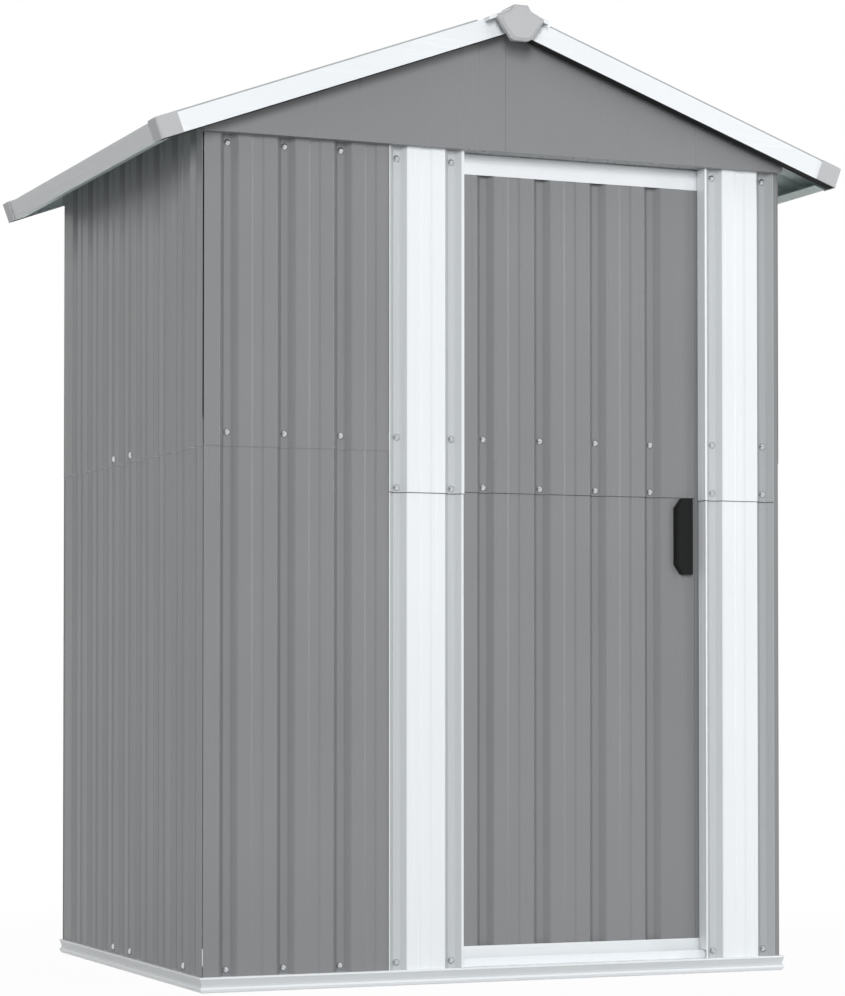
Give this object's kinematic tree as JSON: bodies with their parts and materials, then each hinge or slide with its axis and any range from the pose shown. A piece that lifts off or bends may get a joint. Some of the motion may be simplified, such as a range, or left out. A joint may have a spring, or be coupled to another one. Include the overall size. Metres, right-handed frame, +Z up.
{
  "type": "metal storage shed",
  "caption": "Small gable-roofed garden shed of corrugated sheet steel with white trims and base rails and a sliding door that runs behind the front panel.",
  "frame": {"origin": "on the ground, in the middle of the whole outline", "axes": "+Z up, front wall with the door towards -Y, +X to the right of someone facing the door"},
  "size_m": [1.431, 1.148, 1.8533],
  "materials": {
    "sheet_grey": "satin",
    "trim_white": "satin",
    "frame_zinc": "dull galvanised",
    "cap_plastic": "matte",
    "handle_plastic": "matte"
  },
  "bodies": {
    "shed": {"base_front_rail": "trim_white", "base_back_rail": "trim_white", "base_left_rail": "trim_white", "base_right_rail": "trim_white", "door_bottom_track": "trim_white", "left_pilaster_lower": "trim_white", "left_pilaster_upper": "trim_white", "right_pilaster_lower": "trim_white", "right_pilaster_upper": "trim_white", "ridge_cap": "trim_white", "eave_trim_left": "trim_white", "eave_trim_right": "trim_white", "verge_trims_front": "trim_white", "verge_trims_back": "trim_white", "front_panel_lower": "sheet_grey", "front_panel_upper": "sheet_grey", "front_corner_strip": "sheet_grey", "left_wall_lower": "sheet_grey", "left_wall_upper": "sheet_grey", "right_wall_lower": "sheet_grey", "right_wall_upper": "sheet_grey", "back_wall_lower": "sheet_grey", "back_wall_upper": "sheet_grey", "gable_front": "sheet_grey", "gable_back": "sheet_grey", "roof_panel_left": "sheet_grey", "roof_panel_right": "sheet_grey", "corner_posts": "frame_zinc", "wall_mid_rails": "frame_zinc", "front_top_rail": "frame_zinc", "back_top_rail": "frame_zinc", "left_top_rail": "frame_zinc", "right_top_rail": "frame_zinc", "door_top_track": "frame_zinc", "ridge_beam": "frame_zinc", "roof_corner_caps": "cap_plastic", "ridge_end_cap_front": "cap_plastic", "ridge_end_cap_back": "cap_plastic"},
    "door": {"door_sheet_lower": "sheet_grey", "door_sheet_upper": "sheet_grey", "door_stiles": "sheet_grey", "door_top_rail": "trim_white", "door_bottom_rail": "trim_white", "door_glides": "handle_plastic", "door_handle": "handle_plastic"}
  },
  "joints": [
    {"name": "door_slide", "type": "slide", "parent": "shed", "child": "door", "axis": [-1, 0, 0], "range_m": [0, 0.445]}
  ]
}
